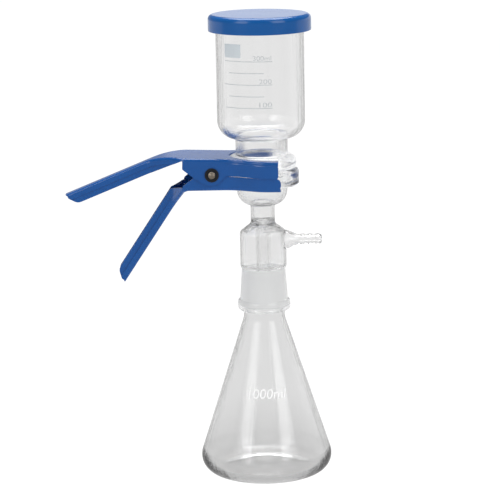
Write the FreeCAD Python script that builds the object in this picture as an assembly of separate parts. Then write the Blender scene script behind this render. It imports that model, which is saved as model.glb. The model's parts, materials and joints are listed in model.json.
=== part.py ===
import FreeCAD, Part
import math
import os
from FreeCAD import Vector

# Vacuum filtration unit. Millimetres, +Z up. The origin is the centre of the flask's resting face,
# the hose barb points along +X and the clamp's handles along -X.

# ---------------------------------------------------------------- driving dimensions

# Ground cone joint 40/38: large diameter, taper and length, with the running gap of the ground faces.
joint_large_d = 40.0
joint_taper = 0.1
joint_length = 38.0
joint_gap = 0.05

# Corners of glass: where two blown pieces run together, at a polished edge and at a ground one.
glass_blend_r = 5.0
glass_edge_r = 1.2
glass_bevel = 0.8

# Conical flask, 1000 ml.
flask_d = 128.0
flask_h = 165.7
flask_heel_r = 16.6
flask_neck_l = 10.2
flask_neck_blend_r = 14.0
flask_wall = 2.4
flask_floor_t = 3.2
flask_push_up = 2.0
flask_foot_inset = 4.0
flask_foot_w = 12.0
flask_foot_edge_r = 12.0
flask_dome_edge_r = 60.0
flask_floor_edge_r = 36.0

# Filter base: female joint, vacuum cap, stem, bulb and clamp flange.
skirt_top_wall = 3.1
skirt_low_wall = 3.3
skirt_mouth_gap = 1.0
skirt_overlap = 1.5
bead_t = 2.3
bead_h = 11.0
bead_overhang = 3.1
bead_edge_r = 3.6
bead_slope_h = 1.0
cap_step = 1.3
cap_wall = 2.3
cap_clear = 2.3
cap_h = 34.0
cap_shoulder_rise = 8.0
stem_d = 23.4
stem_wall = 2.4
stem_l = 18.0
bulb_d = 48.8
bulb_h = 20.3
bulb_r = 15.0
bulb_sag = 3.4
bulb_wall = 3.0
base_flange_d = 71.4
base_flange_t = 16.5
base_flange_edge_r = 4.5
base_flange_foot_bevel = 1.6
drip_d = 12.6
drip_wall = 1.7
drip_above_joint = 12.3

# Hose barb on the vacuum cap.
barb_above_cap = 25.3
barb_bore_d = 5.6
barb_wall = 1.9
barb_ridge_h = 0.7
barb_ridges = 3
barb_pitch = 7.2
barb_tip_l = 1.9
barb_root_d = 19.0
barb_root_l = 11.0
barb_root_blend_r = 9.0
barb_bore_blend_r = 6.0
# Where each ridge rises, peaks and falls, as shares of the pitch.
barb_ridge_shares = (0.33, 0.75, 1.0)

# Sintered disc in the top of the base.
frit_d = 40.0
frit_t = 4.5
frit_ledge = 2.2
frit_gap = 0.05

# Funnel, 300 ml.
funnel_flange_d = 66.6
funnel_flange_t = 12.6
funnel_flange_edge_r = 6.4
funnel_bore_gap = 0.3
funnel_neck_wall = 4.9
funnel_neck_l = 15.6
funnel_neck_fillet_r = 1.6
funnel_shoulder_rise = 4.9
cup_d = 84.4
cup_h = 117.4
cup_wall = 2.4
cup_rim_t = 3.3
cup_rim_h = 7.0

# Lid.
lid_gap = 1.5
lid_t = 2.2
lid_h = 15.8
lid_edge_r = 4.5
lid_lip_r = 0.7
lid_ring_t = 1.8
lid_ring_h = 8.0
lid_ring_gap = 0.5

# Spring clamp, stamped from sheet. The pin stands behind the flanges, between the two jaws.
sheet_t = 1.2
sheet_bend_r = 2.4
sheet_corner_r = 1.0
pin_behind_flange = 12.3
jaw_nip = 0.35
jaw_side_gap = 0.3
jaw_lobe_r = 10.2
jaw_lobe_back = 5.5
jaw_lobe_front = 4.0
jaw_lobe_corner_r = 8.5
jaw_lobe_foot_r = 5.0
jaw_waist_r = 6.0
fork_overlap = 1.3
fork_grip_gap = 0.3
fork_side_gap = 8.8
fork_end_r = 3.0
body_half_w = 29.0
body_rear_x = -28.2
body_rim_h = 2.6
flare_past_pin = 20.0
flare_clear = 0.8
flare_round_l = 10.4
joggle_depth = 3.3
joggle_step = 0.8
joggle_overlap = 1.0
handle_half_w = 7.0
handle_depth = 12.0
handle_step = 1.0
handle_step_depth = 6.2
handle_end_r = 4.5
handle_belly_l = 8.0
upper_reach = 15.0
upper_wall_edge_z = -0.4
upper_tip_r = 2.0
upper_handle_turn = -23.8
upper_handle_corner_x = -48.7
upper_handle_bend_r = 80.0
upper_handle_l = 101.0
upper_shoulder_x = -60.0
upper_shoulder_r = 14.0
upper_flange_start_l = 14.0
upper_flange_start_r = 30.0
upper_waist = (-17.6, -2.7)
upper_heel_z = 5.0
lower_reach = 17.5
lower_wall_edge_z = 2.2
lower_tip_r = 5.0
lower_handle_turn = 56.3
lower_handle_corner_x = -25.3
lower_handle_bend_r = 6.0
lower_handle_l = 111.0
lower_shoulder_x = -41.0
lower_shoulder_r = 8.0
lower_flange_start_l = 9.0
lower_flange_start_r = 2.5
lower_waist = (-18.6, 3.5)
lower_heel_z = 10.6

# Pin, washers and torsion spring.
pin_d = 5.0
pin_fit = 0.06
pin_head_rim = 1.0
pin_head_h = 2.2
washer_d = 13.4
washer_t = 0.8
washer_gap = 0.15
spring_wire_d = 2.0
spring_coil_d = 11.5
spring_turns = 6
spring_pitch = 2.6
spring_seat_gap = 0.3
spring_knee_r = 1.05
spring_leg_x = -20.0

# ---------------------------------------------------------------- what follows from them

# The joint, and the flask and base that share it.
joint_z = flask_h
joint_top_z = joint_z + joint_length
joint_small_d = joint_large_d - joint_taper * joint_length
flask_foot_r = flask_d / 2 - flask_heel_r - flask_foot_inset
skirt_small_d = joint_small_d + 2 * skirt_top_wall
skirt_large_d = joint_large_d + 2 * skirt_low_wall
cap_d = skirt_small_d + 2 * cap_step
cap_z = joint_top_z + cap_clear
cap_shoulder_z = cap_z + cap_h
ring_seal_z = cap_shoulder_z + cap_shoulder_rise
bulb_z = ring_seal_z + stem_l
base_flange_z = bulb_z + bulb_h
base_top_z = base_flange_z + base_flange_t
drip_end_z = joint_z + drip_above_joint

# The barb.
barb_z = cap_z + barb_above_cap
barb_d = barb_bore_d + 2 * barb_wall
barb_root_x = cap_d / 2 + barb_root_l
barb_end_x = barb_root_x + barb_pitch * barb_ridges + barb_tip_l

# Funnel and lid.
funnel_bore_d = frit_d + 2 * funnel_bore_gap
funnel_neck_d = funnel_bore_d + 2 * funnel_neck_wall
funnel_top_z = base_top_z + funnel_flange_t
shoulder_z = funnel_top_z + funnel_neck_l
cup_top_z = shoulder_z + cup_h
cup_rim_d = cup_d + 2 * cup_rim_t
lid_d = cup_rim_d + 2 * (lid_gap + lid_t)

# The clamp. Each jaw's own frame has the pin at its origin, the fork towards +X and its plate
# towards +Z. The lower plate lies flat under the base's flange. The upper jaw tilts until its fork
# meets the rounded edge of the funnel's flange, beside the axis.
pin_x = -(max(base_flange_d, funnel_flange_d) / 2 + pin_behind_flange)
jaw_plate_h = (base_flange_t + funnel_flange_t) / 2 + sheet_t - jaw_nip
pin_z = base_flange_z + jaw_plate_h - sheet_t
fork_cut_r = funnel_flange_d / 2 - fork_overlap
fork_half_w = max(base_flange_d, funnel_flange_d) / 2 + fork_side_gap
edge_run = funnel_flange_edge_r - fork_overlap
edge_drop = funnel_flange_edge_r - math.sqrt(funnel_flange_edge_r ** 2 - edge_run ** 2)
grip_z = funnel_top_z - edge_drop + fork_grip_gap
upper_tilt = math.degrees(math.atan((pin_z + jaw_plate_h - sheet_t - grip_z) / -pin_x))
pin_head_d = pin_d + 2 * pin_head_rim

# The walls flare on a line that passes the flanges with both sheets inside it.
lower_in = sheet_t + jaw_side_gap
flare_pass_r = max(base_flange_d, funnel_flange_d) / 2 + flare_clear + lower_in + sheet_t
flare_run = -pin_x - flare_past_pin
flare_rise = math.acos(min(1.0, flare_pass_r / math.hypot(flare_run, body_half_w)))
flare_turn = math.pi / 2 - math.atan2(body_half_w, flare_run) - flare_rise
flare_r = flare_round_l / math.tan(flare_turn / 2)

X_AXIS = Vector(1, 0, 0)
Y_AXIS = Vector(0, 1, 0)
Z_AXIS = Vector(0, 0, 1)
ORIGIN = Vector(0, 0, 0)
SPAN = max(flask_d, lid_d)


# ---------------------------------------------------------------- outlines
# An outline is a list of corners (a, b, radius): lines between corners, each rounded by its radius.
# A negative radius is a bevel, which takes that much off both lines.

def unit(a, b):
    length = math.hypot(b[0] - a[0], b[1] - a[1])
    return (b[0] - a[0]) / length, (b[1] - a[1]) / length


def corner_arc(before, corner, after):
    """Both ends and the middle of the arc that rounds one corner. A bevel has no middle."""
    u = unit(corner, before)
    v = unit(corner, after)
    if corner[2] < 0:
        start = (corner[0] - u[0] * corner[2], corner[1] - u[1] * corner[2])
        return start, None, (corner[0] - v[0] * corner[2], corner[1] - v[1] * corner[2])
    half = math.acos(max(-1.0, min(1.0, u[0] * v[0] + u[1] * v[1]))) / 2
    reach = corner[2] / math.tan(half)
    centre_distance = corner[2] / math.sin(half)
    bisector = unit((0, 0), (u[0] + v[0], u[1] + v[1]))
    to_middle = centre_distance - corner[2]
    start = (corner[0] + u[0] * reach, corner[1] + u[1] * reach)
    end = (corner[0] + v[0] * reach, corner[1] + v[1] * reach)
    middle = (corner[0] + bisector[0] * to_middle, corner[1] + bisector[1] * to_middle)
    return start, middle, end


def outline_edges(corners, place, closed=True):
    """Lines and arcs along an outline. place(a, b) gives the point in space."""
    count = len(corners)
    pieces = []
    for i, corner in enumerate(corners):
        ends = not closed and i in (0, count - 1)
        if corner[2] and not ends:
            pieces.append(corner_arc(corners[i - 1], corner, corners[(i + 1) % count]))
        else:
            pieces.append((corner[:2], None, corner[:2]))
    edges = []
    for i, (start, middle, end) in enumerate(pieces):
        if middle:
            edges.append(Part.Arc(place(*start), place(*middle), place(*end)).toShape())
        elif start != end:
            edges.append(Part.makeLine(place(*start), place(*end)))
        if i < count - 1 or closed:
            target = pieces[(i + 1) % count][0]
            onward = unit(corners[i], corners[(i + 1) % count])
            if (target[0] - end[0]) * onward[0] + (target[1] - end[1]) * onward[1] < -1e-6:
                raise ValueError("The roundings on the line after %s overlap" % str(corners[i]))
            if math.hypot(target[0] - end[0], target[1] - end[1]) > 1e-6:
                edges.append(Part.makeLine(place(*end), place(*target)))
    return edges


def outline_face(corners, place):
    return Part.Face(Part.Wire(outline_edges(corners, place)))


def turned(corners):
    """A solid of revolution about Z from corners (radius, height, rounding)."""
    face = outline_face(corners, lambda a, b: Vector(a, 0, b))
    return face.revolve(ORIGIN, Z_AXIS, 360)


def inset(corners, distance):
    """An open outline moved to its left by a distance. Roundings grow or shrink to stay parallel."""
    moved = []
    count = len(corners)
    for i, (a, b, radius) in enumerate(corners):
        before = unit(corners[i - 1], corners[i]) if i > 0 else unit(corners[0], corners[1])
        after = unit(corners[i], corners[i + 1]) if i < count - 1 else before
        turn = before[0] * after[1] - before[1] * after[0]
        n1 = (-before[1], before[0])
        n2 = (-after[1], after[0])
        scale = distance / (1 + n1[0] * n2[0] + n1[1] * n2[1])
        new_radius = max(0.0, radius - distance) if turn > 0 else radius + distance
        if radius <= 0:
            new_radius = radius
        moved.append((a + (n1[0] + n2[0]) * scale, b + (n1[1] + n2[1]) * scale, new_radius))
    return moved


def joint_radius(z):
    """Radius of the ground cone at a height above the flask's joint."""
    return joint_large_d / 2 - (z - joint_z) * joint_taper / 2


# ---------------------------------------------------------------- flask

def flask():
    """One blown piece: a wide cone on a rounded heel, a neck, and the ground male joint on top."""
    max_r = flask_d / 2
    neck_r = joint_large_d / 2
    neck_z = flask_h - flask_neck_l
    # The wall is the line from the neck that touches the heel's circle.
    run = max_r - flask_heel_r - neck_r
    drop = neck_z - flask_heel_r
    to_centre = math.hypot(run, drop)
    angle = math.atan2(run, drop) + math.asin(flask_heel_r / to_centre)
    corner_r = neck_r + neck_z * math.tan(angle)
    outer = [
        (0, flask_push_up, 0),
        (flask_foot_r - flask_foot_w, flask_push_up, flask_dome_edge_r),
        (flask_foot_r, 0, flask_foot_edge_r),
        (corner_r, 0, flask_heel_r),
        (neck_r, neck_z, flask_neck_blend_r),
        (neck_r, joint_z, 0),
        (joint_small_d / 2, joint_top_z, -glass_bevel),
        (joint_small_d / 2 - flask_wall, joint_top_z, 0),
    ]
    inner = inset(outer[2:7], flask_wall)
    lift = flask_floor_t - flask_wall
    floor = [(a, b + (lift if i < 2 else 0), r) for i, (a, b, r) in enumerate(inner)]
    inner_foot = (floor[0][0] - flask_foot_w / 2, flask_push_up + flask_floor_t, flask_floor_edge_r)
    corners = outer + [(floor[4][0], joint_top_z - glass_bevel, 0)] + floor[3:0:-1]
    return turned(corners + [inner_foot, (0, flask_push_up + flask_floor_t, 0)])


# ---------------------------------------------------------------- filter base

def base_section():
    """Half section of the base: head, bulb, stem, ring seal, vacuum cap and joint skirt."""
    cap_r = cap_d / 2
    stem_r = stem_d / 2
    bulb_out = bulb_d / 2
    bulb_in = bulb_out - bulb_wall
    frit_r = frit_d / 2
    ledge_r = frit_r - frit_ledge
    frit_z = base_top_z - frit_t
    drip_r = drip_d / 2
    drip_bore_r = drip_r - drip_wall
    skirt_top_z = joint_top_z + skirt_overlap
    bead_r = skirt_large_d / 2 + bead_t
    bead_z = joint_z - bead_overhang
    seal_z = ring_seal_z - cap_wall
    # The bulb's floor slopes down to the stem, and its inner face is a wall's thickness above.
    floor_slope = bulb_sag / (bulb_out - stem_r)
    floor_z = bulb_z + bulb_wall * math.hypot(1, floor_slope)
    outer = [
        (base_flange_d / 2, base_top_z, base_flange_edge_r),
        (base_flange_d / 2, base_flange_z, -base_flange_foot_bevel),
        (bulb_out, base_flange_z, 0),
        (bulb_out, bulb_z + bulb_sag, bulb_r),
        (stem_r, bulb_z, glass_edge_r),
        (stem_r, ring_seal_z, glass_blend_r),
        (cap_r, cap_shoulder_z, glass_blend_r),
        (cap_r, cap_z, glass_edge_r),
        (skirt_small_d / 2, cap_z - 2 * glass_edge_r, 0),
        (skirt_large_d / 2, bead_z + bead_h, 0),
        (bead_r, bead_z + bead_h - bead_slope_h, bead_edge_r),
        (bead_r, bead_z, bead_edge_r),
        (joint_large_d / 2 + skirt_mouth_gap, bead_z, -glass_bevel),
    ]
    vacuum_side = [
        (joint_radius(joint_z) + joint_gap, joint_z + skirt_mouth_gap, 0),
        (joint_radius(skirt_top_z) + joint_gap, skirt_top_z, 0),
        (cap_r - cap_wall, cap_z + cap_wall, 0),
        (cap_r - cap_wall, cap_shoulder_z - cap_wall / 2, glass_blend_r - cap_wall),
        (stem_r - glass_edge_r, seal_z, 0),
        (drip_r, seal_z, -glass_bevel),
        (drip_r, drip_end_z, 0),
    ]
    filtrate_side = [
        (drip_bore_r, drip_end_z, 0),
        (drip_bore_r, seal_z - glass_bevel, 0),
        (stem_r - stem_wall, ring_seal_z + stem_l / 3, glass_blend_r),
        (stem_r - stem_wall, floor_z - stem_wall * floor_slope, 0),
        (bulb_in, floor_z + (bulb_in - stem_r) * floor_slope, bulb_r - bulb_wall),
        (bulb_in, frit_z - frit_ledge - glass_blend_r, 0),
        (ledge_r, frit_z - frit_ledge, 0),
        (ledge_r, frit_z, 0),
        (frit_r, frit_z, 0),
        (frit_r, base_top_z, 0),
    ]
    return outer + vacuum_side + filtrate_side


def barb_outline():
    """Corners of the barb along X: a trumpet root on the cap, then rounded ridges and a tip."""
    tube_r = barb_d / 2
    corners = [
        (0, barb_root_d / 2, 0),
        (cap_d / 2, barb_root_d / 2, glass_blend_r / 2),
        (barb_root_x, tube_r, barb_root_blend_r),
    ]
    for i in range(barb_ridges):
        rise, peak, fall = [barb_root_x + barb_pitch * (i + share) for share in barb_ridge_shares]
        corners.append((rise, tube_r, 0))
        corners.append((peak, tube_r + barb_ridge_h, barb_wall))
        corners.append((fall, tube_r, 0))
    corners.append((barb_end_x, tube_r - barb_ridge_h, -glass_bevel))
    return corners


def spun_about_barb(corners):
    """A solid of revolution about the barb's axis from corners (distance, radius, rounding)."""
    closing = [(corners[-1][0], 0, 0), (corners[0][0], 0, 0)]
    face = outline_face(corners + closing, lambda a, b: Vector(a, 0, barb_z + b))
    return face.revolve(Vector(0, 0, barb_z), X_AXIS, 360)


def filter_base():
    """One blown piece. The barb is drawn out of the cap's wall and opens into the cap."""
    inside_r = cap_d / 2 - cap_wall
    cap_space = Part.makeCylinder(inside_r, cap_h, Vector(0, 0, cap_z))
    tube = spun_about_barb(barb_outline()).cut(cap_space)
    mouth_r = barb_root_d / 2 - cap_wall
    bore = [
        (inside_r - cap_wall, mouth_r, 0),
        (inside_r + 1, mouth_r, cap_wall),
        (barb_root_x - 1, barb_bore_d / 2, barb_bore_blend_r),
        (barb_end_x + 1, barb_bore_d / 2, 0),
    ]
    body = turned(base_section())
    return body.fuse(tube).cut(spun_about_barb(bore)).removeSplitter()


def frit_disc():
    """Sintered glass disc, flush with the base's ground face."""
    radius = frit_d / 2 - frit_gap
    return Part.makeCylinder(radius, frit_t, Vector(0, 0, base_top_z - frit_t))


# ---------------------------------------------------------------- funnel and lid

def funnel():
    """One blown piece: thick ground flange, neck, rounded shoulder, straight cup and flared rim."""
    flange_r = funnel_flange_d / 2
    neck_r = funnel_neck_d / 2
    bore_r = funnel_bore_d / 2
    cup_r = cup_d / 2
    rim_r = cup_rim_d / 2
    shoulder = [
        (neck_r, shoulder_z, glass_edge_r),
        (cup_r, shoulder_z + funnel_shoulder_rise, cup_r - neck_r),
        (cup_r, cup_top_z - cup_rim_h, 0),
        (rim_r, cup_top_z - cup_rim_h / 2, 0),
        (rim_r, cup_top_z, -cup_rim_t / 3),
    ]
    inner = inset(shoulder, cup_wall)
    corners = [
        (bore_r, base_top_z, 0),
        (flange_r, base_top_z, -glass_bevel),
        (flange_r, funnel_top_z, funnel_flange_edge_r),
        (neck_r, funnel_top_z, funnel_neck_fillet_r),
    ]
    corners += shoulder
    corners.append((cup_r - cup_wall, cup_top_z, -cup_wall / 2))
    corners.append((cup_r - cup_wall, inner[1][1], inner[1][2]))
    corners.append((bore_r, inner[0][1], -glass_bevel))
    return turned(corners)


def lid():
    """Moulded cover: a skirt outside the cup's rim and a locating ring inside it."""
    outer_r = lid_d / 2
    top_z = cup_top_z + lid_t
    ring_r = cup_d / 2 - cup_wall - lid_ring_gap
    corners = [
        (0, top_z, 0),
        (outer_r, top_z, lid_edge_r),
        (outer_r, top_z - lid_h, lid_lip_r),
        (outer_r - lid_t, top_z - lid_h, 0),
        (outer_r - lid_t, cup_top_z, -lid_t),
        (ring_r, cup_top_z, 0),
        (ring_r, cup_top_z - lid_ring_h, -lid_lip_r),
        (ring_r - lid_ring_t, cup_top_z - lid_ring_h, 0),
        (ring_r - lid_ring_t, cup_top_z, 0),
        (0, cup_top_z, 0),
    ]
    return turned(corners)


# ---------------------------------------------------------------- spring clamp

def side_prism(corners):
    """An outline in the jaw's side view (x, z), extruded across the whole clamp."""
    face = outline_face(corners, lambda a, b: Vector(a, -SPAN / 2, b))
    return face.extrude(Vector(0, SPAN, 0))


def plan_prism(corners):
    """An outline in the jaw's plan (x, y), extruded through the whole height."""
    face = outline_face(corners, lambda a, b: Vector(a, b, -2 * SPAN))
    return face.extrude(Vector(0, 0, 4 * SPAN))


def web_line(jaw, depth):
    """The sheet's outer line in side view, from handle tip to fork tip, at a depth below its face."""
    turn = math.radians(jaw["turn"])
    corner_x = jaw["corner_x"]
    reach = jaw["handle_l"] + SPAN / 4
    end = (corner_x - reach * math.cos(turn), jaw_plate_h + reach * math.sin(turn), 0)
    line = [(jaw["tip_x"] + SPAN / 4, jaw_plate_h, 0), (corner_x, jaw_plate_h, jaw["bend_r"]), end]
    return inset(line, depth) if depth else line


def below_web(jaw, depth):
    """Everything on the pin's side of the sheet, from a depth below its outer face."""
    line = web_line(jaw, depth)
    far = -1.5 * SPAN
    return side_prism(line + [(line[-1][0], far, 0), (line[0][0], far, 0)])


def along_handle(jaw, distance, depth):
    """A point in side view at a distance along the handle and a depth below its face."""
    turn = math.radians(jaw["turn"])
    x = jaw["corner_x"] - distance * math.cos(turn) - depth * math.sin(turn)
    z = jaw_plate_h + distance * math.sin(turn) - depth * math.cos(turn)
    return x, z


def side_profile(jaw):
    """Side view of one jaw: plate, wall edge with the pivot lobe, relief notch, handle flange."""
    end_l = jaw["handle_l"]
    edge_z = jaw["edge_z"]
    flange_start = along_handle(jaw, jaw["flange_start_l"], handle_depth)
    belly = along_handle(jaw, end_l - handle_belly_l, handle_depth)
    tip = along_handle(jaw, end_l, sheet_bend_r)
    beyond = along_handle(jaw, end_l, 0)
    bend = along_handle(jaw, 0, 0)
    profile = [
        (jaw["tip_x"], jaw_plate_h, 0),
        (bend[0], bend[1], jaw["bend_r"]),
        (beyond[0], beyond[1], 0),
        (tip[0], tip[1], sheet_corner_r),
        (belly[0], belly[1], handle_belly_l),
        (flange_start[0], flange_start[1], jaw["flange_start_r"]),
        (body_rear_x - sheet_corner_r, jaw_plate_h - body_rim_h, sheet_corner_r / 2),
        (body_rear_x, jaw_plate_h - body_rim_h, sheet_corner_r / 3),
        (jaw["heel_x"], jaw["heel_z"], sheet_corner_r),
        (jaw["waist"][0], jaw["waist"][1], jaw_waist_r),
        (-jaw_lobe_back, -jaw_lobe_r, jaw_lobe_corner_r),
        (jaw_lobe_front, -jaw_lobe_r, jaw_lobe_corner_r),
        (jaw_lobe_front + jaw_lobe_r + edge_z, edge_z, jaw_lobe_foot_r),
        (jaw["tip_x"], edge_z, jaw["tip_r"]),
    ]
    return profile


def plan_outline(jaw, inward, step=0.0):
    """Plan of one jaw, symmetric about the X axis: fork, flare, body, shoulder and handle. Both ends
    run on past the sheet, which the side profile ends. A step narrows the fork and its flare."""
    handle_w = handle_half_w + jaw["half_in"]
    fork_w = fork_half_w - step
    flare_start_x = flare_past_pin + step / math.sin(flare_turn)
    flare_end_x = flare_start_x + (fork_w - body_half_w) / math.tan(flare_turn)
    half = [
        (jaw["tip_x"] + SPAN / 4, fork_w, 0),
        (flare_end_x, fork_w, flare_r),
        (flare_start_x, body_half_w, flare_r),
        (body_rear_x, body_half_w, jaw["shoulder_r"]),
        (jaw["shoulder_x"], handle_w, jaw["shoulder_r"]),
        (jaw["shoulder_x"] - SPAN, handle_w, 0),
    ]
    if jaw["half_in"] + inward > 0:
        half = inset(half, jaw["half_in"] + inward)
    return half + [(x, -y, r) for x, y, r in reversed(half)]


def folded(jaw, inward, bend_r, step):
    """A block under the sheet, a distance inside its faces, with its long top edges rounded."""
    block = below_web(jaw, inward).common(plan_prism(plan_outline(jaw, inward, step)))
    line = Part.Wire(outline_edges(web_line(jaw, inward), lambda a, b: Vector(a, 0, b), False))
    long_edges = []
    for edge in block.Edges:
        middle = edge.valueAt((edge.FirstParameter + edge.LastParameter) / 2)
        on_web = line.distToShape(Part.Vertex(Vector(middle.x, 0, middle.z)))[0] < 1e-3
        if on_web and abs(middle.y) > 1.0:
            long_edges.append(edge)
    return block.makeFillet(bend_r, long_edges)


def channel(jaw, step=0.0):
    """The folded sheet, its walls still running on down."""
    inside = folded(jaw, sheet_t, sheet_bend_r - sheet_t, step)
    return folded(jaw, 0, sheet_bend_r, step).cut(inside)


def joggled_channel(jaw):
    """The channel with the fork's walls standing a step further out a little below the plate. The
    step starts with the flare, and its ledge slopes."""
    ahead = Part.makeBox(SPAN, 2 * SPAN, 4 * SPAN, Vector(0, -SPAN, -2 * SPAN))
    walls = channel(jaw).common(below_web(jaw, joggle_depth)).common(ahead)
    rim = Part.Wire(outline_edges(plan_outline(jaw, 0), lambda a, b: Vector(a, b, 0)))
    ledge = []
    for edge in walls.Edges:
        middle = edge.valueAt((edge.FirstParameter + edge.LastParameter) / 2)
        on_rim = rim.distToShape(Part.Vertex(Vector(middle.x, middle.y, 0)))[0] < 1e-3
        if on_rim and edge.BoundBox.ZMin > jaw_plate_h - joggle_depth - 1e-3:
            ledge.append(edge)
    walls = walls.makeChamfer(joggle_step, ledge)
    cut_away = below_web(jaw, joggle_depth + joggle_overlap).common(ahead)
    return channel(jaw, joggle_step).cut(cut_away).fuse(walls)


def wall_strip(jaw, outer_inset, inner_inset):
    """The walls between two insets of the plan, behind the relief notch."""
    strip = plan_prism(plan_outline(jaw, outer_inset)).cut(plan_prism(plan_outline(jaw, inner_inset)))
    corner = Vector(body_rear_x - sheet_corner_r / 2 - 2 * SPAN, -SPAN / 2, -2 * SPAN)
    return strip.common(Part.makeBox(2 * SPAN, SPAN, 4 * SPAN, corner))


def rounded_end(half_w, radius, depth):
    """A cutter that rounds the two corners of a strip that ends at X = 0 and runs towards +X."""
    end = [(0, -half_w, radius), (0, half_w, radius), (radius + 1, half_w, 0), (radius + 1, -half_w, 0)]
    face = outline_face(end, lambda a, b: Vector(a, b, -depth))
    keep = face.extrude(Vector(0, 0, 2 * depth))
    block = Part.makeBox(radius + 1, 2 * half_w, 2 * depth, Vector(0, -half_w, -depth))
    return block.cut(keep)


def stamped_jaw(jaw):
    """One jaw in its own frame: a sheet folded into a channel, cut out for the glass and the pin."""
    profile = side_prism(side_profile(jaw))
    shell = joggled_channel(jaw) if jaw["joggled"] else channel(jaw)
    shell = shell.common(profile)
    # The handle's flanges step inwards half way down.
    set_back = below_web(jaw, handle_step_depth).common(wall_strip(jaw, 0, handle_step))
    shell = shell.cut(set_back)
    liner = below_web(jaw, handle_step_depth - sheet_t).common(profile)
    shell = shell.fuse(liner.common(wall_strip(jaw, sheet_t, sheet_t + handle_step)))
    # Ends of the handle and of the fork.
    handle_end = rounded_end(handle_half_w, handle_end_r, handle_depth / 2)
    handle_end.rotate(ORIGIN, Y_AXIS, jaw["turn"])
    end_x, end_z = along_handle(jaw, jaw["handle_l"], 0)
    handle_end.translate(Vector(end_x, 0, end_z))
    fork_end = rounded_end(fork_half_w - jaw["half_in"], fork_end_r, 2 * sheet_bend_r)
    fork_end.rotate(ORIGIN, Z_AXIS, 180)
    fork_end.translate(Vector(jaw["tip_x"], 0, jaw_plate_h))
    shell = shell.cut(handle_end).cut(fork_end).cut(fork_cut(jaw))
    pin_hole = Part.makeCylinder(pin_d / 2 + pin_fit, SPAN, Vector(0, -SPAN / 2, 0), Y_AXIS)
    return shell.cut(pin_hole).removeSplitter()


def fork_cut(jaw):
    """The U-shaped opening in the plate that goes round the glass."""
    low = jaw_plate_h - 2 * sheet_t
    depth = 4 * sheet_t
    axis_x = -pin_x
    bow = Part.makeCylinder(fork_cut_r, depth, Vector(axis_x, 0, low))
    mouth = Part.makeBox(SPAN, 2 * fork_cut_r, depth, Vector(axis_x, -fork_cut_r, low))
    return bow.fuse(mouth)


UPPER = {
    "tip_x": upper_reach - pin_x,
    "tip_r": upper_tip_r,
    "edge_z": upper_wall_edge_z,
    "turn": upper_handle_turn,
    "corner_x": upper_handle_corner_x,
    "bend_r": upper_handle_bend_r,
    "handle_l": upper_handle_l,
    "shoulder_x": upper_shoulder_x,
    "shoulder_r": upper_shoulder_r,
    "half_in": 0.0,
    "joggled": True,
    "flange_start_l": upper_flange_start_l,
    "flange_start_r": upper_flange_start_r,
    "heel_x": body_rear_x,
    "heel_z": upper_heel_z,
    "waist": upper_waist,
}

LOWER = {
    "tip_x": lower_reach - pin_x,
    "tip_r": lower_tip_r,
    "edge_z": lower_wall_edge_z,
    "turn": lower_handle_turn,
    "corner_x": lower_handle_corner_x,
    "bend_r": lower_handle_bend_r,
    "handle_l": lower_handle_l,
    "shoulder_x": lower_shoulder_x,
    "shoulder_r": lower_shoulder_r,
    "half_in": lower_in,
    "joggled": False,
    "flange_start_l": lower_flange_start_l,
    "flange_start_r": lower_flange_start_r,
    "heel_x": body_rear_x + sheet_corner_r / 2,
    "heel_z": lower_heel_z,
    "waist": lower_waist,
}


def clamp_upper_jaw():
    """Upper jaw, tilted about the pin until its fork meets the funnel's flange."""
    shape = stamped_jaw(UPPER)
    shape.rotate(ORIGIN, Y_AXIS, upper_tilt)
    shape.translate(Vector(pin_x, 0, pin_z))
    return shape


def clamp_lower_jaw():
    """Lower jaw, turned over so that its plate lies under the base's flange."""
    shape = stamped_jaw(LOWER)
    shape.rotate(ORIGIN, X_AXIS, 180)
    shape.translate(Vector(pin_x, 0, pin_z))
    return shape


def pivot_pin():
    """Domed rivet: a shank across both jaws with a head at each end, outside the washers."""
    head_y = body_half_w + washer_gap + washer_t
    shank = Part.makeCylinder(pin_d / 2, 2 * head_y, Vector(0, -head_y, 0), Y_AXIS)
    rim = (pin_head_d / 2, pin_head_h / 2, pin_head_h / 2)
    dome = [(0, 0, 0), (pin_head_d / 2, 0, 0), rim, (0, pin_head_h, 0)]
    head = turned(dome)
    far_head = head.copy()
    head.rotate(ORIGIN, X_AXIS, 90)
    head.translate(Vector(0, -head_y, 0))
    far_head.rotate(ORIGIN, X_AXIS, -90)
    far_head.translate(Vector(0, head_y, 0))
    pin = shank.fuse(head).fuse(far_head).removeSplitter()
    pin.translate(Vector(pin_x, 0, pin_z))
    return pin


def pivot_washer(side):
    """Dark washer between a head of the pin and the upper jaw's wall."""
    inner_r = pin_d / 2 + pin_fit
    ring = [
        (inner_r, 0, 0),
        (washer_d / 2, 0, 0),
        (washer_d / 2, washer_t, -washer_gap),
        (inner_r, washer_t, 0),
    ]
    shape = turned(ring)
    shape.rotate(ORIGIN, X_AXIS, 90 if side < 0 else -90)
    shape.translate(Vector(pin_x, side * (body_half_w + washer_gap), pin_z))
    return shape


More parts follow.
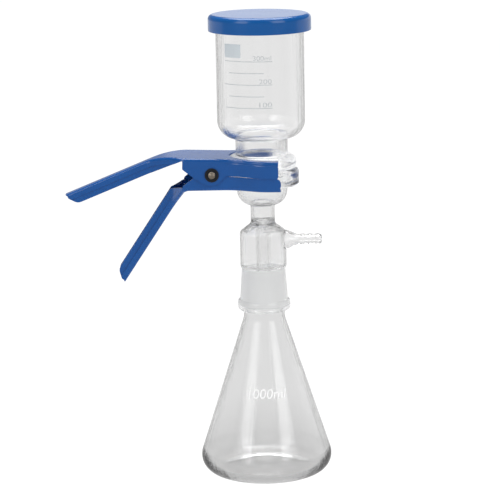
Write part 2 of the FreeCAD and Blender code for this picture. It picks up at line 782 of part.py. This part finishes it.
def clamp_spring():
    """Torsion spring on the pin: a coil and two straight legs that push the handles apart."""
    coil_r = spring_coil_d / 2
    wire_r = spring_wire_d / 2
    seat = jaw_plate_h - sheet_t - wire_r - spring_seat_gap
    # Each leg leaves the coil's circle on the tangent that reaches its seat under the plate. The
    # upper leg is turned with the upper jaw.
    reach = math.hypot(spring_leg_x, seat)
    leave = math.degrees(math.atan2(seat, spring_leg_x) - math.acos(coil_r / reach))
    turns = spring_turns + (2 * leave - upper_tilt) / 360
    half_w = spring_pitch * turns / 2
    path = Part.makeHelix(spring_pitch, 2 * half_w, coil_r)
    first = path.Edges[0]
    at_start = Part.Circle(first.valueAt(0), first.tangentAt(0), wire_r)
    shape = path.makePipeShell([Part.Wire(at_start.toShape())], True, True)
    shape.rotate(ORIGIN, Z_AXIS, -leave)
    shape.translate(Vector(0, 0, -half_w))
    shape.rotate(ORIGIN, X_AXIS, 90)
    legs = []
    for side, tilt in ((1, 0), (-1, upper_tilt)):
        angle = math.radians(-side * leave)
        start = Vector(coil_r * math.cos(angle), side * half_w, coil_r * math.sin(angle))
        end = Vector(spring_leg_x, side * half_w, -side * seat)
        for piece in (
            Part.makeCylinder(wire_r, (end - start).Length, start, end - start),
            Part.makeSphere(spring_knee_r, start),
        ):
            piece.rotate(ORIGIN, Y_AXIS, tilt)
            legs.append(piece)
    shape = shape.multiFuse(legs)
    shape.translate(Vector(pin_x, 0, pin_z))
    return shape


parts = {
    "flask": flask,
    "filter_base": filter_base,
    "frit_disc": frit_disc,
    "funnel": funnel,
    "lid": lid,
    "clamp_upper_jaw": clamp_upper_jaw,
    "clamp_lower_jaw": clamp_lower_jaw,
    "clamp_spring": clamp_spring,
    "pivot_pin": pivot_pin,
    "pivot_washer_front": lambda: pivot_washer(-1),
    "pivot_washer_rear": lambda: pivot_washer(1),
}

os.makedirs("parts", exist_ok=True)
for name, build in parts.items():
    shape = build()
    print(name, shape.isValid(), len(shape.Solids), round(shape.Volume / 1000, 2), "cm3")
    shape.exportStep("parts/" + name + ".step")
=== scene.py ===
import json
import math
import bmesh
import bpy
from mathutils import Matrix, Vector


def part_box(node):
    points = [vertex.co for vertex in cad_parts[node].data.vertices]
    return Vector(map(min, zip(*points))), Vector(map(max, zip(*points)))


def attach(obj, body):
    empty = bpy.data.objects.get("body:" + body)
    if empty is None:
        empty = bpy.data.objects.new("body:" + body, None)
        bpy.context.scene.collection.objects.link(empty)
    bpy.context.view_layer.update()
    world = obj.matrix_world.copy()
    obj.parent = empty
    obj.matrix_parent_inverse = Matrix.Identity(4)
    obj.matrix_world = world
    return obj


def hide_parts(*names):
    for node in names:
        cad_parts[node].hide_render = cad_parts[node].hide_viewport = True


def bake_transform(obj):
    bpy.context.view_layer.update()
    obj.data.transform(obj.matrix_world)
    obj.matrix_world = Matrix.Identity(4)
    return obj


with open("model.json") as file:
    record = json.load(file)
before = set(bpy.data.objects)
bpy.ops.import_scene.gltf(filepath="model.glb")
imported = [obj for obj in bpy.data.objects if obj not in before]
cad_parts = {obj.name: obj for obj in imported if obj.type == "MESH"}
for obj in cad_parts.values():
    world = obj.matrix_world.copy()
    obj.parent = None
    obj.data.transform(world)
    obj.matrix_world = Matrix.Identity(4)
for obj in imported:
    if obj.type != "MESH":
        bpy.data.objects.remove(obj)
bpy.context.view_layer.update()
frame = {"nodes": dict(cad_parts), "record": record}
nodes = frame["nodes"]
scene = bpy.context.scene
TAU = 2 * math.pi


# ---- Conical flask
# One blown piece of clear borosilicate glass. Its neck is ground to a cone on the outside, which
# makes that band dull and grey, and the wall shows faint rings left by the mould.

GLASS_IOR = 1.473
JOINT_LARGE_R = 0.0200
JOINT_TAPER = 0.05
JOINT_L = 0.038


class Value:
    """The output of a shader node. Python's operators on it add Math nodes."""

    def __init__(self, finish, socket):
        self.finish = finish
        self.socket = socket

    def __add__(self, other):
        return self.finish.maths("ADD", self, other)

    def __sub__(self, other):
        return self.finish.maths("SUBTRACT", self, other)

    def __rsub__(self, other):
        return self.finish.maths("SUBTRACT", other, self)

    def __mul__(self, other):
        return self.finish.maths("MULTIPLY", self, other)

    def __truediv__(self, other):
        return self.finish.maths("DIVIDE", self, other)

    __radd__ = __add__
    __rmul__ = __mul__


class Finish:
    """A node tree with one method for every node, and short names for the common ones."""

    def __init__(self, tree):
        self.tree = tree
        tree.nodes.clear()

    def node(self, kind, settings=None, inputs=None, output=0):
        made = self.tree.nodes.new(kind)
        for name, setting in (settings or {}).items():
            if name == "stops":
                ramp = made.color_ramp
                for element, (place, colour) in zip(ramp.elements, setting):
                    element.position = place
                    element.color = (*colour, 1)
            else:
                setattr(made, name, setting)
        for name, value in (inputs or {}).items():
            socket = made.inputs[name]
            if isinstance(value, Value):
                self.tree.links.new(value.socket, socket)
            elif socket.type == "RGBA" and len(value) == 3:
                socket.default_value = (*value, 1)
            else:
                socket.default_value = value
        return Value(self, made.outputs[output]) if made.outputs else None

    def maths(self, operation, a, b=0.0):
        return self.node("ShaderNodeMath", {"operation": operation}, {0: a, 1: b})

    def between(self, value, low, high):
        """0 below low, 1 above high and a smooth rise between them. The ends can be swapped."""
        settings = {"interpolation_type": "SMOOTHSTEP"}
        if low < high:
            return self.node("ShaderNodeMapRange", settings, {0: value, 1: low, 2: high})
        return self.node("ShaderNodeMapRange", settings, {0: value, 1: high, 2: low, 3: 1.0, 4: 0.0})

    def place(self):
        return self.node("ShaderNodeTexCoord", output="Object")

    def axis(self, place, letter):
        return self.node("ShaderNodeSeparateXYZ", inputs={0: place}, output="XYZ".index(letter))

    def noise(self, place, scale, detail=2.0, stretch=(1, 1, 1)):
        moved = self.node("ShaderNodeMapping", inputs={"Vector": place, "Scale": stretch})
        sockets = {"Vector": moved, "Scale": scale, "Detail": detail}
        return self.node("ShaderNodeTexNoise", inputs=sockets)

    def mix(self, factor, a, b):
        settings = {"data_type": "RGBA", "clamp_factor": True}
        sockets = {0: factor, 6: a, 7: b}
        return self.node("ShaderNodeMix", settings, sockets, output=2)

    def bump(self, height, strength, distance):
        sockets = {"Height": height, "Strength": strength, "Distance": distance}
        return self.node("ShaderNodeBump", inputs=sockets)


def new_material(name, make_shader):
    """A material whose surface is the shader that make_shader adds to its tree."""
    material = bpy.data.materials.new(name)
    material.use_nodes = True
    finish = Finish(material.node_tree)
    shader = make_shader(finish)
    finish.node("ShaderNodeOutputMaterial", inputs={"Surface": shader})
    return material


def dress(node, material):
    """Gives a CAD node its material."""
    mesh = nodes[node].data
    mesh.materials.clear()
    mesh.materials.append(material)


def glass(name, clearness, ground_zone, crinkle_zone=None):
    """Borosilicate glass. ground_zone(finish, radius, height) is 1 where the face is ground, and
    crinkle_zone(finish, radius, height) where hand work has left it uneven."""

    def make_shader(finish):
        place = finish.place()
        x = finish.axis(place, "X")
        y = finish.axis(place, "Y")
        z = finish.axis(place, "Z")
        radius = finish.maths("SQRT", x * x + y * y)
        ground = ground_zone(finish, radius, z)
        around = finish.node("ShaderNodeCombineXYZ", inputs={0: x / radius, 1: y / radius, 2: z * 0.8})
        ripples = finish.noise(around, 9.0, 3.0)
        draws = finish.noise(around, 48.0, 2.0, (1, 1, 0.1))
        rings = finish.noise(place, 14.0, 1.0, (1, 1, 9))
        height = ripples * 0.6 + rings * 0.4 + draws * 0.4
        if crinkle_zone:
            height = height + finish.noise(place, 320.0, 2.0) * crinkle_zone(finish, radius, z) * 10
        sockets = {
            "Base Color": finish.mix(rings, [clearness] * 3, [clearness + 0.006] * 3),
            "Roughness": rings * 0.01,
            "Normal": finish.bump(height, 0.35, 0.0006),
            "IOR": GLASS_IOR,
            "Transmission Weight": 1.0,
        }
        clear = finish.node("ShaderNodeBsdfPrincipled", inputs=sockets)
        grain = finish.noise(place, 2600.0, 2.0)
        sockets = {
            "Base Color": finish.mix(grain, (0.60, 0.61, 0.61), (0.70, 0.70, 0.70)),
            "Roughness": 0.7 + grain * 0.2,
            "Normal": finish.bump(grain, 0.10, 0.0002),
            "IOR": GLASS_IOR,
            "Transmission Weight": 0.1,
        }
        frosted = finish.node("ShaderNodeBsdfPrincipled", inputs=sockets)
        return finish.node("ShaderNodeMixShader", inputs={0: ground, 1: clear, 2: frosted})

    return new_material(name, make_shader)


joint_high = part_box("flask")[1].z
joint_low = joint_high - JOINT_L


def off_cone(radius, z):
    """How far a point lies outside the ground cone that the flask and the base share."""
    return radius - (JOINT_LARGE_R + JOINT_TAPER * joint_low - z * JOINT_TAPER)


def ground_outside(finish, radius, z):
    """The flask's ground cone, on the outside of its neck."""
    on_cone = finish.between(off_cone(radius, z), -0.0012, -0.0006)
    above = finish.between(z, joint_low + 0.0002, joint_low + 0.0010)
    below = finish.between(z, joint_high - 0.0004, joint_high - 0.0012)
    return on_cone * above * below


def let_light_through(node):
    """Clear glass hardly shades what stands behind it."""
    nodes[node].visible_shadow = False
    nodes[node].visible_diffuse = False


dress("flask", glass("flask_glass", 0.945, ground_outside))
let_light_through("flask")


# ---- Filter base
# One blown piece: clamp flange, bulb, stem, ring seal with the drip tube, vacuum cap with the hose
# barb, and the skirt, whose inside is ground to the flask's cone. Its top face is ground flat.

FLANGE_GROUND_R = 0.0340
SEAL_BELOW_TOP = 0.0548
flange_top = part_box("filter_base")[1].z
seal_z = flange_top - SEAL_BELOW_TOP


def ground_inside(finish, radius, z):
    """The base's ground cone, inside its skirt, and its flat ground top."""
    on_cone = finish.between(off_cone(radius, z), 0.0012, 0.0006)
    outside_tube = finish.between(radius, 0.0080, 0.0090)
    above = finish.between(z, joint_low + 0.0012, joint_low + 0.0018)
    below = finish.between(z, joint_high + 0.0012, joint_high + 0.0006)
    on_top = finish.between(z, flange_top - 0.0002, flange_top - 0.0001)
    in_flange = finish.between(radius, FLANGE_GROUND_R, FLANGE_GROUND_R - 0.0006)
    return finish.maths("MAXIMUM", on_cone * outside_tube * above * below, on_top * in_flange)


def ring_seal(finish, radius, z):
    """The seam where cap, stem and drip tube were fused by hand."""
    above = finish.between(z, seal_z - 0.007, seal_z - 0.003)
    return above * finish.between(z, seal_z + 0.005, seal_z + 0.002)


dress("filter_base", glass("base_glass", 0.985, ground_inside, ring_seal))
let_light_through("filter_base")


# ---- Sintered disc
# A porous plate of fused glass grains, white and quite dull, which carries the membrane.

def sintered(finish):
    place = finish.place()
    grains = finish.node("ShaderNodeTexVoronoi", inputs={"Vector": place, "Scale": 1400.0})
    shade = finish.mix(grains, (0.80, 0.80, 0.78), (0.93, 0.93, 0.91))
    sockets = {
        "Base Color": shade,
        "Roughness": 0.85,
        "Normal": finish.bump(grains, 0.5, 0.0003),
    }
    return finish.node("ShaderNodeBsdfPrincipled", inputs=sockets)


dress("frit_disc", new_material("sintered_glass", sintered))


# ---- Funnel
# A blown cup on a thick flange, ground flat underneath. White enamel is fired on its front: a
# writing patch, five graduation lines 50 ml apart and their numbers.

funnel_low, funnel_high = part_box("funnel")


def ground_underneath(finish, radius, z):
    """The funnel's flat ground face."""
    low = finish.between(z, funnel_low.z + 0.0002, funnel_low.z + 0.0001)
    return low * finish.between(radius, 0.0325, 0.0319)


dress("funnel", glass("funnel_glass", 0.992, ground_underneath))
let_light_through("funnel")

CUP_R = 0.0422
PRINT_LIFT = 0.00006
MARK_W = 0.0007
ML_50 = 0.0110
PRINT_START = -52.1
LONG_MARK_END = 15.1
SHORT_MARK = (-44.5, 4.2)
PATCH_END = -26.0
PATCH_LOW = 0.0033
PATCH_HIGH = 0.0161
NUMBER_H = 0.0045
NUMBER_LIFT = 0.0010
mark_300_z = funnel_high.z - 0.0389
print_r = CUP_R + PRINT_LIFT


def enamel(name, colour):
    """Fired enamel: opaque, a little uneven in thickness and satin."""

    def make_shader(finish):
        place = finish.place()
        cloud = finish.noise(place, 900.0, 2.0)
        sockets = {
            "Base Color": finish.mix(cloud, [c * 0.9 for c in colour], colour),
            "Roughness": 0.45,
            "Normal": finish.bump(cloud, 0.15, 0.0001),
        }
        return finish.node("ShaderNodeBsdfPrincipled", inputs=sockets)

    return new_material(name, make_shader)


def add_piece(name, grid, material, body=None):
    """Makes an object of a bmesh, and lets it ride on a body if one is named."""
    mesh = bpy.data.meshes.new(name)
    grid.to_mesh(mesh)
    grid.free()
    mesh.materials.append(material)
    piece = bpy.data.objects.new(name, mesh)
    scene.collection.objects.link(piece)
    if body:
        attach(piece, body)
    return piece


def printed_band(grid, radius, start, end, low, high):
    """A rectangle of print on a cylinder, from one bearing to another. Bearing 0 is the front."""
    steps = max(2, int((end - start) / 2))
    patch = bmesh.ops.create_grid(grid, x_segments=steps, y_segments=1, size=0.5)["verts"]
    for vert in patch:
        bearing = math.radians(start + (vert.co.x + 0.5) * (end - start))
        z = low + (vert.co.y + 0.5) * (high - low)
        vert.co = Vector((radius * math.sin(bearing), -radius * math.cos(bearing), z))


def text_grid(text, width, height):
    """A flat bmesh of lettering that starts at the origin, runs along X and fills width by height."""
    curve = bpy.data.curves.new("lettering", "FONT")
    curve.body = text
    curve.resolution_u = 4
    holder = bpy.data.objects.new("lettering", curve)
    scene.collection.objects.link(holder)
    bpy.context.view_layer.update()
    shown = holder.evaluated_get(bpy.context.evaluated_depsgraph_get())
    flat = bpy.data.meshes.new_from_object(shown)
    bpy.data.objects.remove(holder)
    grid = bmesh.new()
    grid.from_mesh(flat)
    bpy.data.meshes.remove(flat)
    left = min(vert.co.x for vert in grid.verts)
    low = min(vert.co.y for vert in grid.verts)
    wide = max(vert.co.x for vert in grid.verts) - left
    tall = max(vert.co.y for vert in grid.verts) - low
    for vert in grid.verts:
        vert.co = Vector(((vert.co.x - left) * width / wide, (vert.co.y - low) * height / tall, 0))
    return grid


def wrap(grid, radius_at, bearing, z):
    """Lays flat lettering round a surface of revolution, its lower left corner at a bearing."""
    for vert in grid.verts:
        height = z + vert.co.y
        radius = radius_at(height)
        turn = math.radians(bearing) + vert.co.x / radius
        vert.co = Vector((radius * math.sin(turn), -radius * math.cos(turn), height))


cup_enamel = enamel("cup_enamel", (0.50, 0.53, 0.54))
marks = bmesh.new()
for step in range(5):
    start, end = SHORT_MARK if step % 2 else (PRINT_START, LONG_MARK_END)
    z = mark_300_z - step * ML_50
    printed_band(marks, print_r, start, end, z - MARK_W / 2, z + MARK_W / 2)
add_piece("funnel_marks", marks, cup_enamel, "glassware")

patch_enamel = enamel("patch_enamel", (0.58, 0.63, 0.66))
patch = bmesh.new()
printed_band(patch, print_r, PRINT_START, PATCH_END, mark_300_z + PATCH_LOW, mark_300_z + PATCH_HIGH)
add_piece("writing_patch", patch, patch_enamel, "glassware")

numbers = (("300ml", 0, 0.0173, -9.5), ("200", 2, 0.0120, -2.2), ("100", 4, 0.0120, -2.2))
for text, step, width, bearing in numbers:
    number = text_grid(text, width, NUMBER_H)
    wrap(number, lambda height: print_r, bearing, mark_300_z - step * ML_50 + NUMBER_LIFT)
    add_piece("funnel_number_" + text, number, cup_enamel, "glassware")


# ---- Flask's capacity mark
# White enamel on the cone's front, half way up.

CONE_TOP_R = 0.020
CONE_SLOPE = 0.3228
CAPACITY_Z = 0.0833
CAPACITY_W = 0.0362
CAPACITY_H = 0.0090
CAPACITY_TURN = 1.0
cone_top_z = joint_low - 0.0102


def cone_r(height):
    """The flask's outer radius on its straight wall."""
    return CONE_TOP_R + (cone_top_z - height) * CONE_SLOPE + PRINT_LIFT


capacity = text_grid("1000ml", CAPACITY_W, CAPACITY_H)
bearing = -math.degrees(CAPACITY_W / 2 / cone_r(CAPACITY_Z))
wrap(capacity, cone_r, bearing + CAPACITY_TURN, CAPACITY_Z)
add_piece("flask_capacity", capacity, enamel("flask_enamel", (0.95, 0.95, 0.95)), "glassware")


# ---- Lid
# Injection-moulded blue plastic with a gloss skin and the faint swirl of the mould's polish.

def blue_plastic(finish):
    place = finish.place()
    cloud = finish.noise(place, 35.0, 3.0)
    fine = finish.noise(place, 420.0, 2.0)
    sockets = {
        "Base Color": finish.mix(cloud, (0.001, 0.072, 0.262), (0.002, 0.084, 0.300)),
        "Roughness": 0.12 + fine * 0.06,
        "Normal": finish.bump(cloud * 0.7 + fine * 0.3, 0.12, 0.0008),
        "IOR": 1.50,
    }
    return finish.node("ShaderNodeBsdfPrincipled", inputs=sockets)


dress("lid", new_material("blue_plastic", blue_plastic))


# ---- Spring clamp
# Two jaws stamped and folded from 1.2 mm steel sheet, under a glossy blue enamel that pools into a
# light orange peel.

def blue_enamel(finish):
    place = finish.place()
    peel = finish.noise(place, 260.0, 2.0)
    broad = finish.noise(place, 28.0, 3.0)
    sockets = {
        "Base Color": finish.mix(broad, (0.001, 0.060, 0.245), (0.002, 0.077, 0.298)),
        "Roughness": 0.16 + peel * 0.10,
        "Normal": finish.bump(peel * 0.6 + broad * 0.4, 0.10, 0.0008),
        "Coat Weight": 0.2,
        "Coat Roughness": 0.08,
    }
    return finish.node("ShaderNodeBsdfPrincipled", inputs=sockets)


clamp_enamel = new_material("clamp_enamel", blue_enamel)
dress("clamp_upper_jaw", clamp_enamel)
dress("clamp_lower_jaw", clamp_enamel)


# ---- Pin, washers and spring
# A brass-coloured rivet with domed heads on black washers, and a coil of bright spring wire whose
# legs follow the two jaws.

def worn_metal(name, light, dark, roughness):
    """Bare metal with a brushed grain and dull spots."""

    def make_shader(finish):
        place = finish.place()
        spots = finish.noise(place, 520.0, 4.0)
        grain = finish.noise(place, 1800.0, 1.0, (1, 8, 1))
        sockets = {
            "Base Color": finish.mix(spots, dark, light),
            "Roughness": roughness + spots * 0.15,
            "Metallic": 1.0,
            "Normal": finish.bump(grain * 0.4 + spots * 0.6, 0.25, 0.0003),
        }
        return finish.node("ShaderNodeBsdfPrincipled", inputs=sockets)

    return new_material(name, make_shader)


dress("pivot_pin", worn_metal("pin_metal", (0.50, 0.43, 0.35), (0.24, 0.20, 0.16), 0.28))

COIL_R = 0.00575
WIRE_R = 0.0010
COIL_PITCH = 0.0026
COIL_TURNS = 6
STEPS_PER_TURN = 28
WIRE_SIDES = 12
LEG_REACH = 0.0200
LEG_SEAT = 0.0129
UPPER_TILT = 1.83
pin = Vector(frame["record"]["behaviour"]["joints"][0]["pos_m"])
leave = math.atan2(LEG_SEAT, -LEG_REACH) - math.acos(COIL_R / math.hypot(LEG_REACH, LEG_SEAT))
wound = TAU * COIL_TURNS + 2 * leave - math.radians(UPPER_TILT)
coil_half_w = COIL_PITCH * wound / TAU / 2
lower_end = Vector((-LEG_REACH, coil_half_w, -LEG_SEAT))
tilt = Matrix.Rotation(math.radians(UPPER_TILT), 3, "Y")
upper_end = tilt @ Vector((-LEG_REACH, -coil_half_w, LEG_SEAT))
wire = [lower_end]
coil_steps = int(wound / TAU * STEPS_PER_TURN)
for step in range(coil_steps + 1):
    turn = wound * step / coil_steps
    y = coil_half_w - COIL_PITCH * turn / TAU
    wire.append(Vector((COIL_R * math.cos(turn - leave), y, COIL_R * math.sin(turn - leave))))
wire.append(upper_end)


def swept(points, radius, sides):
    """A round wire along points, with flat ends. Its section doesn't twist."""
    grid = bmesh.new()
    rings = []
    across = Vector((0, 1, 0))
    for i, point in enumerate(points):
        ahead = (points[min(i + 1, len(points) - 1)] - points[max(i - 1, 0)]).normalized()
        across = (across - across.dot(ahead) * ahead).normalized()
        side = ahead.cross(across)
        ring = []
        for k in range(sides):
            angle = TAU * k / sides
            outward = across * math.cos(angle) + side * math.sin(angle)
            ring.append(grid.verts.new(point + radius * outward))
        rings.append(ring)
    for low, high in zip(rings, rings[1:]):
        for k in range(sides):
            grid.faces.new((low[k - 1], low[k], high[k], high[k - 1]))
    grid.faces.new(rings[0])
    grid.faces.new(rings[-1])
    bmesh.ops.recalc_face_normals(grid, faces=grid.faces)
    return grid


coil = swept([point + pin for point in wire], WIRE_R, WIRE_SIDES)
for face in coil.faces:
    face.smooth = len(face.verts) == 4
spring_metal = worn_metal("spring_wire", (0.60, 0.60, 0.60), (0.35, 0.35, 0.36), 0.25)
spring = add_piece("spring_wire", coil, spring_metal)
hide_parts("clamp_spring")
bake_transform(spring)


def black_oxide(finish):
    place = finish.place()
    spots = finish.noise(place, 700.0, 3.0)
    sockets = {
        "Base Color": finish.mix(spots, (0.010, 0.011, 0.014), (0.030, 0.032, 0.038)),
        "Roughness": 0.35 + spots * 0.2,
        "Metallic": 0.6,
        "Normal": finish.bump(spots, 0.2, 0.0002),
    }
    return finish.node("ShaderNodeBsdfPrincipled", inputs=sockets)


washer_metal = new_material("washer_metal", black_oxide)
dress("pivot_washer_front", washer_metal)
dress("pivot_washer_rear", washer_metal)


# ---- Studio
# A pale sweep, two tall softboxes in front, a wide one overhead behind, and dark cards round the
# glass that are seen only through it and draw its edges.

def add_stage(name, grid, material):
    mesh = bpy.data.meshes.new(name)
    grid.to_mesh(mesh)
    grid.free()
    mesh.materials.append(material)
    piece = bpy.data.objects.new(name, mesh)
    scene.collection.objects.link(piece)
    return piece


FLOOR_R = 9.0
FLOOR_Z = -0.0004


def pale_floor(finish):
    light = "ShaderNodeLightPath"
    camera = finish.node(light, output="Is Camera Ray")
    through = finish.node(light, output="Is Transmission Ray")
    glossy = finish.node(light, output="Is Glossy Ray")
    seen = finish.maths("MAXIMUM", camera, through)
    behind = finish.between(finish.axis(finish.place(), "Y"), -0.25, 0.35)
    diffuse = finish.node("ShaderNodeBsdfDiffuse", inputs={"Color": (0.86, 0.86, 0.86)})
    white = finish.node("ShaderNodeEmission", inputs={"Color": (1, 1, 1), "Strength": 1.08})
    sockets = {"Color": (1, 1, 1), "Strength": 0.42 + behind * 0.42}
    mirrored = finish.node("ShaderNodeEmission", inputs=sockets)
    lit = finish.node("ShaderNodeMixShader", inputs={0: seen * 0.92, 1: diffuse, 2: white})
    return finish.node("ShaderNodeMixShader", inputs={0: glossy, 1: lit, 2: mirrored})


floor = bmesh.new()
drop = Matrix.Translation((0, 0, FLOOR_Z))
bmesh.ops.create_circle(floor, cap_ends=True, segments=96, radius=FLOOR_R, matrix=drop)
add_stage("floor", floor, new_material("pale_floor", pale_floor))


def black_card(finish):
    return finish.node("ShaderNodeEmission", inputs={"Color": (0.16, 0.16, 0.16), "Strength": 1.0})


CARDS = 8
CARD_RING_R = 0.75
CARD_W = 0.10
CARD_LOW = 0.16
CARD_H = 1.1
card_material = new_material("black_card", black_card)
for step in range(CARDS):
    turn = Matrix.Rotation(TAU * (step + 0.5) / CARDS, 4, "Z")
    upright = Matrix.Rotation(math.radians(90), 4, "X")
    stand = Matrix.Translation((0, CARD_RING_R, CARD_LOW + CARD_H / 2)) @ upright
    placed = turn @ stand @ Matrix.Diagonal((CARD_W, CARD_H, 1, 1))
    card = bmesh.new()
    bmesh.ops.create_grid(card, x_segments=1, y_segments=1, size=0.5, matrix=placed)
    piece = add_stage("black_card_%d" % step, card, card_material)
    piece.visible_camera = False
    piece.visible_diffuse = False
    piece.visible_glossy = False
    piece.visible_shadow = False


def studio_air(finish):
    light = "ShaderNodeLightPath"
    camera = finish.node(light, output="Is Camera Ray")
    through = finish.node(light, output="Is Transmission Ray")
    glossy = finish.node(light, output="Is Glossy Ray")
    way = finish.node("ShaderNodeTexCoord", output="Generated")
    behind = finish.between(finish.axis(way, "Y"), -0.35, 0.45)
    low = finish.between(finish.axis(way, "Z"), 0.22, 0.12)
    left = finish.between(finish.axis(way, "X"), -0.04, -0.10)
    mirrored = glossy * (0.19 + behind * low * (0.80 - left * 0.60))
    around = (1 - glossy) * 0.58
    ceiling = finish.between(finish.axis(way, "Z"), 0.35, 0.60)
    bright = camera + through * (1 - ceiling * 0.35)
    strength = finish.maths("MAXIMUM", bright, (mirrored + around) * (1 - through))
    return finish.node("ShaderNodeBackground", inputs={"Color": (1, 1, 1), "Strength": strength})


world = bpy.data.worlds.new("studio")
world.use_nodes = True
air = Finish(world.node_tree)
air.node("ShaderNodeOutputWorld", inputs={"Surface": studio_air(air)})
scene.world = world


def softbox(name, place, target, width, height, power):
    """An area lamp that faces a point."""
    lamp = bpy.data.lights.new(name, "AREA")
    lamp.shape = "RECTANGLE"
    lamp.size = width
    lamp.size_y = height
    lamp.energy = power
    holder = bpy.data.objects.new(name, lamp)
    way = Vector(target) - Vector(place)
    facing = way.to_track_quat("-Z", "Y").to_matrix().to_4x4()
    holder.matrix_world = Matrix.Translation(place) @ facing
    scene.collection.objects.link(holder)
    return holder


SOFTBOX_BEARING = math.radians(42)
SOFTBOX_FAR = 1.15
SOFTBOX_Z = 0.90
for name, side in (("softbox_left", -1), ("softbox_right", 1)):
    across = side * SOFTBOX_FAR * math.sin(SOFTBOX_BEARING)
    place = (across, -SOFTBOX_FAR * math.cos(SOFTBOX_BEARING), SOFTBOX_Z)
    softbox(name, place, (0, 0, 0.50), 0.60, 1.05, 4.2)
softbox("overhead", (0, 0.45, 1.6), (0, 0.2, 0.2), 1.2, 1.2, 26.0)


# ---- Camera
# A long lens a little above the clamp, as for a catalogue picture.

CAMERA_PLACE = (-0.0129, -2.118, 0.6645)
LOOK_DOWN = 11.82
ROLL = -1.05
camera = bpy.data.objects.new("camera", bpy.data.cameras.new("camera"))
camera.data.sensor_width = 36
camera.data.lens = 160.5
camera.data.clip_end = 50
pitch = Matrix.Rotation(math.radians(90 - LOOK_DOWN), 4, "X")
aim = pitch @ Matrix.Rotation(math.radians(ROLL), 4, "Z")
camera.matrix_world = Matrix.Translation(CAMERA_PLACE) @ aim
scene.collection.objects.link(camera)
scene.camera = camera

scene.view_settings.view_transform = "Standard"
scene.cycles.max_bounces = 40
scene.cycles.transmission_bounces = 36
scene.cycles.glossy_bounces = 6
scene.cycles.transparent_max_bounces = 16
scene.cycles.caustics_reflective = False
scene.cycles.caustics_refractive = False
